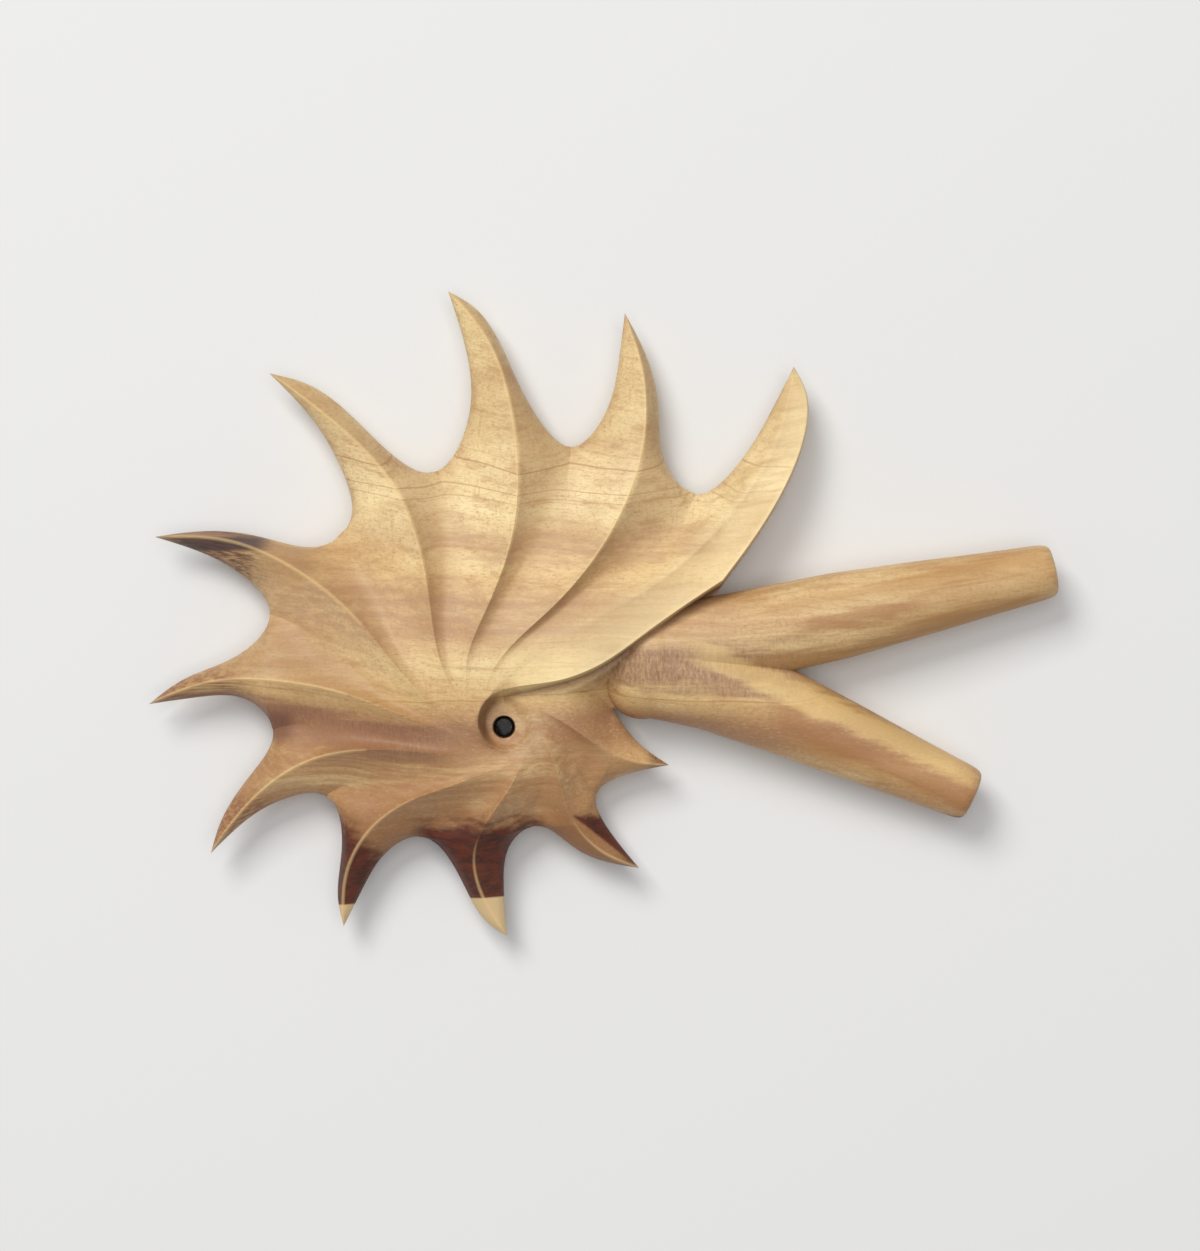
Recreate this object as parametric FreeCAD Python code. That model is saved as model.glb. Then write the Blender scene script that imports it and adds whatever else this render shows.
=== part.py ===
import FreeCAD, Part
import math
import os

# A V-shaped pipe carved from one block of wood. Its hub is a spiny spiral shell whose ribs sweep
# counter-clockwise into an eye, where a small black stone is cemented into a drilled seat. Two
# bored arms leave the right-hand side in a V, and their bores meet inside the root.
# Millimetres, +Z up, +X towards the arms. The origin is under the middle of the outline, on the
# table. Every outline point is (x, y).

V = FreeCAD.Vector

# ---- shell: levels ----
RIM_Z = 8.0            # height of the thin edge that runs round the outline
BASE_CUT = 0.0         # the underside is sanded flat at this height
EYE_Z = 16.0           # height of the small dish round the stone
BASE_UNDER = -2.0      # level at which the underside closes before it is sanded
EDGE_ROUND = 1.0       # how far each face rises in the rounded edge of the outline
TOP_BASE_SHARE = 0.46  # a crest's height where its spike leaves the shell, as a share of its top
UNDER_RISE = 10.5      # how far the underside's ribs would reach below the rim, unsanded
UNDER_BASE_SHARE = 0.30
LIP_START = 9.5        # height of the lip over the rim where the upper arm leaves it
LIP_RISE = 13.6        # height of the lip over the rim near the eye
FLOOR_RISE = 8.6       # height over the rim of the floor below the lip

# ---- eye, stone and its bed ----
EYE = (-20.7, -23.6)
RING_R = 1.4
SEAT_R = 2.35
SEAT_DEPTH = 2.6
BED = 0.25
STONE_R = 2.1
STONE_H = 2.1
STONE_CROWN = 0.35
CUP_WALL = 1.2         # height of the cement cup above its floor

# ---- arms ----
ROOT = (10.8, -8.7)
UPPER_END = (94.6, 9.2)
LOWER_END = (77.6, -38.3)
ARM_Z = 9.0
BORE_R = 2.75
MOUTH_R = 3.9          # radius of the flat rim round a bore's mouth
# distance from the arm's end, half width
ARM_PROFILE = [(0.5, 4.9), (1.6, 5.5), (6.0, 5.95), (14.0, 6.6), (28.0, 7.8), (46.0, 9.1)]
ROOT_HALF_WIDTH = 9.8
ROOT_BALL_R = 10.1

# ---- cutting tools ----
WIDE = 150             # beyond the outline on every side
CLEAR = 20             # beyond the body above or below

# ---- ribs ----
# Each rib, counter-clockwise from the one that ends in the lip: its crest from the tip inwards,
# the bearing at which it reaches the eye, its height over the rim near the eye, and the share
# of its length that stands free of the shell as a spike.
RIBS = [
    ([(40.0, 51.8), (36.7, 36.4), (27.6, 21.7), (16.1, 10.0), (3.5, 1.6), (-9.1, -5.6)],
     108, 12.6, 0.38),
    ([(4.5, 63.1), (8.2, 50.9), (8.3, 35.2), (2.0, 17.7), (-11.4, 0.5), (-23.4, -13.0)],
     135, 13.2, 0.36),
    ([(-32.6, 67.7), (-24.4, 57.6), (-18.8, 40.2), (-18.6, 17.7), (-24.4, 0.5), (-28.5, -13.0)],
     158, 13.2, 0.38),
    ([(-70.2, 50.5), (-58.7, 41.9), (-43.6, 26.4), (-36.4, 5.1), (-33.0, -12.0)],
     180, 13.0, 0.39),
    ([(-94.2, 16.1), (-78.4, 15.2), (-63.5, 8.7), (-50.5, -2.0), (-38.3, -16.1)],
     203, 12.8, 0.34),
    ([(-95.4, -19.0), (-82.6, -14.4), (-66.7, -14.2), (-53.8, -16.7), (-37.7, -22.6)],
     228, 12.2, 0.33),
    ([(-82.4, -50.3), (-74.8, -40.4), (-62.0, -31.0), (-41.2, -28.5), (-29.0, -29.2)],
     258, 11.4, 0.36),
    ([(-54.5, -65.6), (-53.8, -54.5), (-47.8, -44.2), (-38.1, -38.1), (-23.8, -32.4)],
     295, 10.4, 0.38),
    ([(-20.2, -67.7), (-25.3, -59.1), (-26.8, -49.2), (-22.8, -41.3), (-17.3, -32.0)],
     335, 9.8, 0.46),
    ([(7.5, -53.4), (0.5, -50.3), (-6.6, -42.7), (-9.8, -32.0), (-14.0, -25.0)],
     372, 9.0, 0.39),
    ([(13.8, -31.8), (6.6, -31.0), (-0.7, -27.8), (-8.1, -22.8), (-15.5, -20.2)],
     410, 8.4, 0.36),
]

# ---- outline ----
# From each spike's tip counter-clockwise to the next: down to the notch, the notch, and up again.
NOTCHES = [
    ([(34.6, 41.3), (27.2, 30.1)], (19.4, 25.1), [(13.8, 30.1), (11.5, 44.2), (8.7, 54.9)]),
    ([(3.1, 52.0), (-0.3, 40.8)], (-6.8, 35.0), [(-13.1, 40.2), (-20.0, 53.2), (-27.2, 64.4)]),
    ([(-29.1, 56.4), (-28.6, 40.0)], (-34.9, 29.9), [(-51.7, 40.4), (-63.1, 48.6)]),
    ([(-60.8, 40.4), (-54.5, 29.1), (-53.3, 19.0)], (-56.8, 15.1), [(-71.9, 16.1), (-84.7, 17.3)]),
    ([(-85.6, 13.3), (-76.7, 8.7)], (-70.0, -0.2), [(-75.5, -7.9), (-88.5, -14.0)]),
    ([(-84.7, -17.5), (-73.8, -18.6)], (-69.4, -24.3), [(-73.8, -33.5), (-80.7, -44.6)]),
    ([(-73.8, -42.5), (-66.0, -38.6)], (-58.2, -38.3), [(-54.9, -48.2), (-55.7, -60.2)]),
    ([(-50.7, -58.1), (-44.5, -49.2)], (-38.9, -46.8), [(-29.1, -57.4), (-23.8, -65.4)]),
    ([(-20.9, -56.4), (-18.8, -47.4)], (-14.4, -44.6), [(-6.0, -49.2), (1.8, -52.4)]),
    ([(2.4, -47.1)], (-1.4, -37.8), [(6.6, -33.3)]),
]
LIP_EDGE = [(42.5, 46.9), (42.5, 37.5), (38.6, 26.8), (31.2, 14.4)]
LIP_ROOT = (24.7, 5.6)
LIP_FOOT = [(16.7, 0.5), (7.9, -5.6), (-2.0, -12.3), (-12.3, -15.6)]
LIP_BEARING = 448
LIP_LEAD = 0.7
LAST_EDGE = [(6.6, -26.4)]
LAST_ROOT = (2.2, -20.2)
LAST_FOOT = [(-3.0, -16.5), (-10.0, -17.0)]
LAST_BEARING = 430

# Stations of every face's grid. A line runs from 0 at the tip, past 0.45 where the spike leaves
# the shell, to 1 at the eye.
NECK = 0.45
SPIKE = [0.0, 0.07, 0.16, 0.27, 0.37, NECK]
SHELL = [NECK, 0.485, 0.54, 0.62, 0.71, 0.80, 0.88, 0.95, 1.0]
ACROSS = [0.0, 0.18, 0.38, 0.58, 0.76, 0.90, 1.0]
STEEP_SHARE = 0.26     # share of a flute's width that its steep side takes
LIP_T = ACROSS[5]      # where the lip's crest lies, from the rib (0) to its foot (1)

# How heights change along and across a flute.
SPIKE_POWER = 0.8      # below 1, so a spike thickens quickly behind its tip
FULL_HEIGHT_AT = 0.42  # how far past NECK a crest reaches its full height
FLUTE_POWER = 1.3      # how fast a flute's depth dies away towards the eye
BROAD_POWER = 1.5      # hollow of a flute's broad side
STEEP_POWER = 1.9      # hollow of its steep side
UNDER_POWER = 1.2      # hollow of the underside's flutes
FREE_BLEND = 0.12      # how far past NECK the spike's straight sides turn into hollows
NOTCH_BLEND = 0.3      # how far past NECK a valley keeps the notch's offset
EDGE_T = 0.10          # share of a strip's width that the rounded edge takes
EDGE_S = 0.035         # how far past NECK the rounded edge reaches
FLOOR_BLEND = 0.10     # how far past NECK the floor under the lip reaches its height
DISH_AT = 0.88         # where heights start to settle into the eye's dish
LIP_EDGE_DROP = 0.4    # the lip's crest is rounded off by this much


def smooth(value):
    """0 to 1 with level ends."""
    value = min(1.0, max(0.0, value))
    return value * value * (3 - 2 * value)


def blend(a, b, share):
    return a * (1 - share) + b * share


def curve_through(points):
    curve = Part.BSplineCurve()
    curve.interpolate([V(x, y, 0) for x, y in points])
    return curve


def pieces(curve, split, stations_out, stations_in):
    """Points along a curve: the first stations reach the split length, the rest its end."""
    total = curve.length()
    lengths = [split * s / NECK for s in stations_out]
    lengths += [split + (total - split) * (s - NECK) / (1 - NECK) for s in stations_in[1:]]
    return [curve.value(curve.parameterAtDistance(min(d, total))) for d in lengths]


def ring_point(bearing):
    angle = math.radians(bearing)
    return (EYE[0] + RING_R * math.cos(angle), EYE[1] + RING_R * math.sin(angle))


def rib_line(index):
    points, bearing, _, free = RIBS[index]
    curve = curve_through(points + [ring_point(bearing)])
    line = pieces(curve, free * curve.length(), SPIKE, SHELL)
    line[0] = V(*points[0], 0)
    return line


def edge_lines(index):
    """The outline from spike index down to its notch, and from the next spike down to it."""
    down, notch, up = NOTCHES[index]
    first = RIBS[index][0][0]
    last = RIBS[index + 1][0][0]
    there = curve_through([first] + down + [notch] + up + [last])
    middle = there.parameter(V(*notch, 0))
    whole = there.length()
    left_length = there.length(there.FirstParameter, middle)
    left = [there.value(there.parameterAtDistance(left_length * s / NECK)) for s in SPIKE]
    right = [there.value(there.parameterAtDistance(whole - (whole - left_length) * s / NECK))
             for s in SPIKE]
    left[0] = V(*first, 0)
    right[0] = V(*last, 0)
    right[-1] = left[-1]
    return left, right


def valley_line(index, notch):
    """From the notch inwards, sliding over to the steep side of the next rib."""
    here = rib_line(index)[len(SPIKE) - 1:]
    after = rib_line(index + 1)[len(SPIKE) - 1:]
    line = [blend(a, b, 1 - STEEP_SHARE) for a, b in zip(here, after)]
    offset = notch - line[0]
    return [p + offset * (1 - smooth((s - NECK) / NOTCH_BLEND)) for p, s in zip(line, SHELL)]


def root_line(points, root, foot, bearing, lead):
    """The outline from a tip to a root under the lip, then on to the eye. A lead below 1 makes
    the inner stations run ahead."""
    outer = curve_through(points + [root])
    length = outer.length()
    first = [outer.value(outer.parameterAtDistance(length * s / NECK)) for s in SPIKE[:-1]]
    first[0] = V(*points[0], 0)
    inner = curve_through([root] + foot + [ring_point(bearing)])
    length = inner.length()
    second = [inner.value(inner.parameterAtDistance(length * ((s - NECK) / (1 - NECK)) ** lead))
              for s in SHELL]
    return first + second


def climb(top, share, s):
    """Height of a crest over the rim: up the spike, then up the shell to its top."""
    if s <= NECK:
        return top * share * (s / NECK) ** SPIKE_POWER
    turn = math.pi / 2 * min(1.0, (s - NECK) / FULL_HEIGHT_AT)
    return top * (share + (1 - share) * math.sin(turn))


def valley_climb(top, share, s):
    """The same for the bottom of a flute, which starts at the rim and meets the crest inside."""
    depth = top * share * (1 - (s - NECK) / (1 - NECK)) ** FLUTE_POWER
    return climb(top, share, s) - depth


def settle(rise, target, s):
    """Brings a height to the eye's dish over the last stretch."""
    return blend(rise, target, smooth((s - DISH_AT) / (1 - DISH_AT)))


def edge_round(s, t):
    return EDGE_ROUND * min(1.0, s / SPIKE[1], (1 - t) / EDGE_T + max(0.0, s - NECK) / EDGE_S)


def strip(rib, line, rise_at):
    """Grid between a crest and the line beside it, with heights from rise_at(s, t)."""
    stations = SPIKE + SHELL[1:]
    return [[V(*(blend(a, b, t))[:2], rise_at(s, t)) for t in ACROSS]
            for a, b, s in zip(rib, line, stations)]


def top_rise(rib_top, valley_top, steep):
    """Height of the top face over a strip that ends in an ordinary notch and valley."""
    power = STEEP_POWER if steep else BROAD_POWER

    def rise(s, t):
        crest = climb(rib_top, TOP_BASE_SHARE, s)
        side = 0.0 if s <= NECK else valley_climb(valley_top, TOP_BASE_SHARE, s)
        flat = 1.0 if s <= NECK else 1 - smooth((s - NECK) / FREE_BLEND)
        across = blend(1 - (1 - t) ** power, t, flat)
        height = settle(blend(crest, side, across) + edge_round(s, t), EYE_Z - RIM_Z, s)
        return RIM_Z + height
    return rise


def under_rise(s, t):
    crest = climb(UNDER_RISE, UNDER_BASE_SHARE, s)
    side = 0.0 if s <= NECK else valley_climb(UNDER_RISE, UNDER_BASE_SHARE, s)
    height = settle(blend(crest, side, t ** UNDER_POWER) + edge_round(s, t), RIM_Z - BASE_UNDER, s)
    return RIM_Z - height


def floor_climb(s):
    return 0.0 if s <= NECK else FLOOR_RISE * smooth((s - NECK) / FLOOR_BLEND)


def lip_rise(s, t):
    """Top face beyond the first rib: it climbs to the lip's crest, then drops to its foot."""
    lip = climb(LIP_RISE, LIP_START / LIP_RISE, s)
    crest = climb(RIBS[0][2], TOP_BASE_SHARE, s)
    if t <= LIP_T:
        height = blend(crest, lip, t / LIP_T)
        if t == LIP_T:
            height -= LIP_EDGE_DROP
    else:
        height = floor_climb(s) - EDGE_ROUND
    height = settle(height + EDGE_ROUND, EYE_Z - RIM_Z, s)
    return RIM_Z + height * min(1.0, s / SPIKE[1])


def last_rise(s, t):
    crest = climb(RIBS[-1][2], TOP_BASE_SHARE, s)
    height = blend(crest, floor_climb(s), t)
    return RIM_Z + settle(height + edge_round(s, t), EYE_Z - RIM_Z, s)


def floor_rise(s, t):
    """The strip between the lip's foot and the last valley."""
    return RIM_Z + settle(floor_climb(s) + t * edge_round(s, 1.0), EYE_Z - RIM_Z, s)


def under_floor_rise(s, t):
    return under_rise(s, 1.0)


def through(points, parameters):
    """Poles, multiplicities and knots of the cubic curve through points at fixed parameters."""
    curve = Part.BSplineCurve()
    curve.interpolate(Points=points, Parameters=parameters)
    return curve.getPoles(), curve.getMultiplicities(), curve.getKnots()


def face_over(grid, inward):
    """One cubic face through a grid, whose edges match those of the faces beside it exactly."""
    rows = []
    for row in grid:
        if row[0].distanceToPoint(row[-1]) > 1e-6:
            poles, across_mults, across_knots = through(row, ACROSS)
            rows.append(poles)
        else:
            rows.append(None)
    count = max(len(row) for row in rows if row)
    rows = [row or [grid[i][0]] * count for i, row in enumerate(rows)]
    columns = []
    for j in range(count):
        poles, inward_mults, inward_knots = through([row[j] for row in rows], inward)
        columns.append(poles)
    surface = Part.BSplineSurface()
    surface.buildFromPolesMultsKnots(columns, across_mults, inward_mults, across_knots,
                                     inward_knots, False, False, 3, 3)
    return surface.toShape()


def faces_over(grid):
    """The spike's face and the shell's face over one strip."""
    neck = len(SPIKE) - 1
    return [face_over(grid[:neck + 1], SPIKE), face_over(grid[neck:], SHELL)]


def cap(faces, level):
    """The small flat face that closes the ring of face ends at a level."""
    edges = []
    for face in faces:
        for edge in face.Edges:
            box = edge.BoundBox
            flat = abs(box.ZMin - level) < 1e-3 and abs(box.ZMax - level) < 1e-3
            if flat and 1e-3 < box.DiagonalLength < RING_R:
                edges.append(edge)
    return Part.Face(Part.Wire(Part.sortEdges(edges)[0]))


def strips():
    """Every strip of the shell: its crest, the line beside it, and the top face's height."""
    count = len(RIBS)
    ribs = [rib_line(k) for k in range(count)]
    result = []
    for k in range(count - 1):
        left, right = edge_lines(k)
        valley = valley_line(k, left[-1])
        tops = RIBS[k][2], RIBS[k + 1][2]
        valley_top = blend(*tops, 1 - STEEP_SHARE)
        result.append((ribs[k], left + valley[1:], top_rise(tops[0], valley_top, False)))
        result.append((ribs[k + 1], right + valley[1:], top_rise(tops[1], valley_top, True)))
    lip = root_line([RIBS[0][0][0]] + LIP_EDGE, LIP_ROOT, LIP_FOOT, LIP_BEARING, LIP_LEAD)
    last = root_line([RIBS[-1][0][0]] + LAST_EDGE, LAST_ROOT, LAST_FOOT, LAST_BEARING, 1.0)
    result.append((ribs[0], lip, lip_rise))
    result.append((ribs[-1], last, last_rise))
    return result, lip, last


def shell():
    neck = len(SPIKE) - 1
    all_strips, lip, last = strips()
    top = []
    under = []
    for rib, line, rise in all_strips:
        top += faces_over(strip(rib, line, rise))
        under += faces_over(strip(rib, line, under_rise))
    top.append(face_over(strip(lip, last, floor_rise)[neck:], SHELL))
    under.append(face_over(strip(lip, last, under_floor_rise)[neck:], SHELL))
    faces = top + under + [cap(top, EYE_Z), cap(under, BASE_UNDER)]
    sewn = Part.makeCompound(faces)
    sewn.sewShape(0.01)
    solid = Part.makeSolid(sewn.Shells[0])
    if solid.Volume < 0:
        solid.reverse()
    return solid


def arm(end):
    """A tapering round arm from its mouth to the middle of the root."""
    tip = V(end[0], end[1], ARM_Z)
    root = V(ROOT[0], ROOT[1], ARM_Z)
    length = tip.distanceToPoint(root)
    side = Part.BSplineCurve()
    side.interpolate([V(0, MOUTH_R, 0)] + [V(d, w, 0) for d, w in ARM_PROFILE]
                     + [V(length, ROOT_HALF_WIDTH, 0)])
    corners = [V(length, ROOT_HALF_WIDTH, 0), V(length, 0, 0), V(0, 0, 0), V(0, MOUTH_R, 0)]
    outline = Part.Wire([side.toShape()] + Part.makePolygon(corners).Edges)
    solid = Part.Face(outline).revolve(V(0, 0, 0), V(1, 0, 0), 360)
    bearing = math.degrees(math.atan2(root.y - tip.y, root.x - tip.x))
    solid.rotate(V(0, 0, 0), V(0, 0, 1), bearing)
    solid.translate(tip)
    return solid


def bore(end):
    tip = V(end[0], end[1], ARM_Z)
    root = V(ROOT[0], ROOT[1], ARM_Z)
    inward = (root - tip).normalize()
    return Part.makeCylinder(BORE_R, tip.distanceToPoint(root) + 1, tip - inward, inward)


def seat(radius, bottom, height):
    return Part.makeCylinder(radius, height, V(*EYE, bottom))


def carved_body():
    ball = Part.makeSphere(ROOT_BALL_R, V(ROOT[0], ROOT[1], ARM_Z))
    arms = arm(UPPER_END).fuse(arm(LOWER_END)).fuse(ball)
    body = shell().fuse(arms)
    below = Part.makeBox(2 * WIDE, 2 * WIDE, CLEAR, V(-WIDE, -WIDE, BASE_CUT - CLEAR))
    seat_cut = seat(SEAT_R, EYE_Z - SEAT_DEPTH, SEAT_DEPTH + CLEAR)
    for tool in (below, bore(UPPER_END), bore(LOWER_END), seat_cut):
        body = body.cut(tool)
    if len(body.Solids) != 1:
        raise RuntimeError("the body came out in pieces")
    return body.Solids[0]


def eye_stone():
    """A low cabochon: a short round girdle under a domed crown."""
    bottom = EYE_Z - SEAT_DEPTH + BED
    girdle = seat(STONE_R, bottom, STONE_H)
    dome_r = (STONE_R ** 2 + STONE_CROWN ** 2) / (2 * STONE_CROWN)
    dome = Part.makeSphere(dome_r, V(*EYE, bottom + STONE_H - dome_r))
    return girdle.common(dome).Solids[0]


def stone_cement():
    """The thin cup of cement that the stone is bedded in."""
    bottom = EYE_Z - SEAT_DEPTH
    cup = seat(SEAT_R, bottom, BED + CUP_WALL)
    return cup.cut(seat(STONE_R, bottom + BED, STONE_H)).Solids[0]


def main():
    os.makedirs("parts", exist_ok=True)
    nodes = {
        "carved_body": carved_body(),
        "eye_stone": eye_stone(),
        "stone_cement": stone_cement(),
    }
    for name, shape in nodes.items():
        box = shape.BoundBox
        print(name, shape.isValid(), shape.ShapeType, len(shape.Faces), round(shape.Volume, 1),
              [round(v, 2) for v in (box.XMin, box.YMin, box.ZMin, box.XMax, box.YMax, box.ZMax)])
        shape.exportStep(f"parts/{name}.step")


main()
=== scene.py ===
import bmesh
import bpy
import math
import numpy as np
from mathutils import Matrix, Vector, kdtree, noise


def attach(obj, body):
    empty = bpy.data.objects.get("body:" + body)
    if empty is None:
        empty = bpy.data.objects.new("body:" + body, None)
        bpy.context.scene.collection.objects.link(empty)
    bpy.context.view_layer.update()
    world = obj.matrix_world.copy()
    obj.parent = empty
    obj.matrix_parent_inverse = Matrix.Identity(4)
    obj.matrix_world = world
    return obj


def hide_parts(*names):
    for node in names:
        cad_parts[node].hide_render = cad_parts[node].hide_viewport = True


# The pipe's visual model: the body is rebuilt at carving detail over the same lines as the CAD
# solid, with the rounded edges, the hooked lip round the eye and the soft hollows of the real
# thing, then given procedural wood. Lengths here are millimetres until MM turns them to metres.

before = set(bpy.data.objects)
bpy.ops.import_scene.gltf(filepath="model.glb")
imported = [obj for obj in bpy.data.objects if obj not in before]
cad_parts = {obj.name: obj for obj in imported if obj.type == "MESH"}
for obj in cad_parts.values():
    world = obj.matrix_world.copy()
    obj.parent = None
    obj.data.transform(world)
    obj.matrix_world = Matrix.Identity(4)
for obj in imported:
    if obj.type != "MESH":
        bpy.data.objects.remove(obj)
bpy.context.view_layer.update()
MM = 0.001

# ---- the lines of the carving: its plan and main heights follow the CAD ----
RIM_Z = 8.0
EYE_Z = 16.0
BASE_UNDER = -2.0
TOP_BASE_SHARE = 0.46
UNDER_RISE = 10.5
UNDER_BASE_SHARE = 0.30
LIP_START = 9.5
LIP_RISE = 13.4
FLOOR_RISE = 8.6
EYE = np.array((-20.7, -23.6))
SEAT_R = 2.35
SEAT_DEPTH = 2.6
ARM_Z = 9.0
ROOT = (10.8, -8.7)
UPPER_END = (94.6, 9.2)
LOWER_END = (77.6, -38.3)
BORE_R = 2.75
BORE_SIDES = 96
BOX = 0.4              # side of the cutting box, in metres
ROOT_HALF_WIDTH = 9.8
ROOT_BALL_R = 10.1
NECK = 0.45            # where a strip's notch lies, from its tip (0) to the eye (1)
STEEP_SHARE = 0.26     # share of the gap between two ribs that the flute's steep side takes
SPIKE_POWER = 0.8      # how fast a crest climbs along its spike
FULL_HEIGHT_AT = 0.42  # how far past the notch a crest reaches its full height
VALLEY_POWER = 1.4     # how fast a valley catches up with its crests towards the eye
FLUTE_POWER = 2.3      # how deep the steep side of a flute is cut
BROAD_POWER = 1.55     # how deep the broad side is cut
UNDER_POWER = 1.2      # the same on the underside
BELLY = 0.08           # how far a spike's section bulges
FIRST_HOLLOW = 0.8     # how soft the first rib's flute is, from a sharp crest (0) to none (1)
FIRST_BELLY = 0.7      # the same for its spike
FIRST_POWER = 1.1
FREE_BLEND = 0.12      # how far past the notch a spike's section turns into a flute's
NOTCH_BLEND = 0.3      # how far past the notch a valley still bends towards it
LIP_POWER = 1.4        # how the lip's top rises from the first rib to its crest
DROP_POWER = 0.8       # how the lip's wall falls to its foot
THIN_TIP = 0.06        # how much of the first spike's tip thins out on the lip's side
DISH_AT = 0.80         # where a strip starts to level out and bend on to the hook
FLOOR_REACH = 0.10     # how far past the notch the floor beside the lip takes to climb

# Each rib: its crest from the tip inwards, its bearing at the eye, its height over the rim near
# the eye, and the share of its length that stands free as a spike.
RIBS = [
    ([(40.0, 51.8), (36.7, 36.4), (27.6, 21.7), (16.1, 10.0), (3.5, 1.6), (-9.1, -5.6)],
     108, 12.6, 0.38),
    ([(4.5, 63.1), (8.2, 50.9), (8.3, 35.2), (2.0, 17.7), (-11.4, 0.5), (-23.4, -13.0)],
     135, 13.2, 0.36),
    ([(-32.6, 67.7), (-24.4, 57.6), (-18.8, 40.2), (-18.6, 17.7), (-24.4, 0.5), (-28.5, -13.0)],
     158, 13.2, 0.38),
    ([(-70.2, 50.5), (-58.7, 41.9), (-43.6, 26.4), (-36.4, 5.1), (-33.0, -12.0)],
     180, 13.0, 0.39),
    ([(-94.2, 16.1), (-78.4, 15.2), (-63.5, 8.7), (-50.5, -2.0), (-38.3, -16.1)],
     203, 12.8, 0.34),
    ([(-95.4, -19.0), (-82.6, -14.4), (-66.7, -14.2), (-53.8, -16.7), (-37.7, -22.6)],
     228, 12.2, 0.33),
    ([(-82.4, -50.3), (-74.8, -40.4), (-62.0, -31.0), (-41.2, -28.5), (-29.0, -29.2)],
     258, 11.4, 0.36),
    ([(-54.5, -65.6), (-53.8, -54.5), (-47.8, -44.2), (-38.1, -38.1), (-23.8, -32.4)],
     295, 10.4, 0.38),
    ([(-20.2, -67.7), (-25.3, -59.1), (-26.8, -49.2), (-22.8, -41.3), (-17.3, -32.0)],
     335, 9.8, 0.46),
    ([(7.5, -53.4), (0.5, -50.3), (-6.6, -42.7), (-9.8, -32.0), (-14.0, -25.0)],
     372, 9.0, 0.39),
    ([(13.8, -31.8), (6.6, -31.0), (-0.7, -27.8), (-8.1, -22.8), (-15.5, -20.2)],
     410, 8.4, 0.36),
]
NOTCHES = [
    ([(34.6, 41.3), (27.2, 30.1)], (19.4, 25.1), [(13.8, 30.1), (11.5, 44.2), (8.7, 54.9)]),
    ([(3.1, 52.0), (-0.3, 40.8)], (-6.8, 35.0), [(-13.1, 40.2), (-20.0, 53.2), (-27.2, 64.4)]),
    ([(-29.1, 56.4), (-28.6, 40.0)], (-34.9, 29.9), [(-51.7, 40.4), (-63.1, 48.6)]),
    ([(-60.8, 40.4), (-54.5, 29.1), (-53.3, 19.0)], (-56.8, 15.1), [(-71.9, 16.1), (-84.7, 17.3)]),
    ([(-85.6, 13.3), (-76.7, 8.7)], (-70.0, -0.2), [(-75.5, -7.9), (-88.5, -14.0)]),
    ([(-84.7, -17.5), (-73.8, -18.6)], (-69.4, -24.3), [(-73.8, -33.5), (-80.7, -44.6)]),
    ([(-73.8, -42.5), (-66.0, -38.6)], (-58.2, -38.3), [(-54.9, -48.2), (-55.7, -60.2)]),
    ([(-50.7, -58.1), (-44.5, -49.2)], (-38.9, -46.8), [(-29.1, -57.4), (-23.8, -65.4)]),
    ([(-20.9, -56.4), (-18.8, -47.4)], (-14.4, -44.6), [(-6.0, -49.2), (1.8, -52.4)]),
    ([(2.4, -47.1)], (-1.4, -37.8), [(6.6, -33.3)]),
]
LIP_EDGE = [(42.5, 46.9), (42.5, 37.5), (38.6, 26.8), (31.2, 14.4)]
LIP_ROOT = (24.7, 5.6)
LIP_FOOT = [(16.7, 0.5), (7.9, -5.6), (-2.0, -12.3), (-12.3, -15.6)]
LIP_BEARING = 448
LIP_LEAD = 0.7
LIP_TURN = 0.90        # where the lip's crest lies, from the first rib (0) to its foot (1)
LAST_EDGE = [(6.6, -26.4)]
LAST_ROOT = (2.2, -20.2)
LAST_FOOT = [(-3.0, -16.5), (-10.0, -17.0)]
LAST_BEARING = 430
LAST_REACH = 0.30       # how far along the last rib the floor beside it takes to climb

# ---- visual detail ----
EDGE_W = 1.6           # width of the rounded band along the outline
EDGE_RISE = 1.0        # how far it lifts each face off the rim's middle line
OUT_STEPS = 44         # grid steps along a spike
IN_STEPS = 60          # grid steps from the notch to the eye
TIP_CROWDING = 1.25    # how much finer the steps are near the tip
NOTCH_CROWDING = 1.12  # and near the notch
SPLINE_STEPS = 1200    # points on a plan curve
STRAIGHT_STEPS = 400   # points on a straight one
TOP_STEPS = 24         # across each strip, top
UNDER_STEPS = 9        # across each strip, underside
LIP_TOP = (14, 10)     # across the lip's strip, top: up to its crest, down its wall
LIP_UNDER = (6, 3)     # the same on the underside
# The hooked lip round the eye: bearing, radius of its crest, radius of its foot, crest height.
# It stands tall over the top and the left side, fades below, and is level with the dish elsewhere.
HOOK_START = 88        # the hook's table runs for one turn from this bearing
DISH_Z = EYE_Z + 0.25  # height of the dish at the hook's foot
OPEN_Z = EYE_Z + 0.55  # height of the hook's crest where it is level with the dish
CREST_R, FOOT_R, CREST_Z = 1, 2, 3
CLEAR = 2.5            # how far from the hook's crest a rib's last given point has to be
HOOK = [
    (HOOK_START, 6.2, 5.2, OPEN_Z), (90, 7.8, 5.4, 19.4), (117, 6.9, 4.9, 20.0), (153, 5.8, 4.1, 20.0),
    (196, 4.9, 3.4, 19.1), (225, 4.8, 3.3, 18.0), (250, 4.8, 3.3, 17.1), (285, 5.2, 3.3, OPEN_Z),
    (372, 6.2, 3.3, OPEN_Z), (410, 6.6, 3.5, OPEN_Z), (430, 6.6, 4.2, OPEN_Z),
    (448, 6.2, 5.2, OPEN_Z),
]


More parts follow.
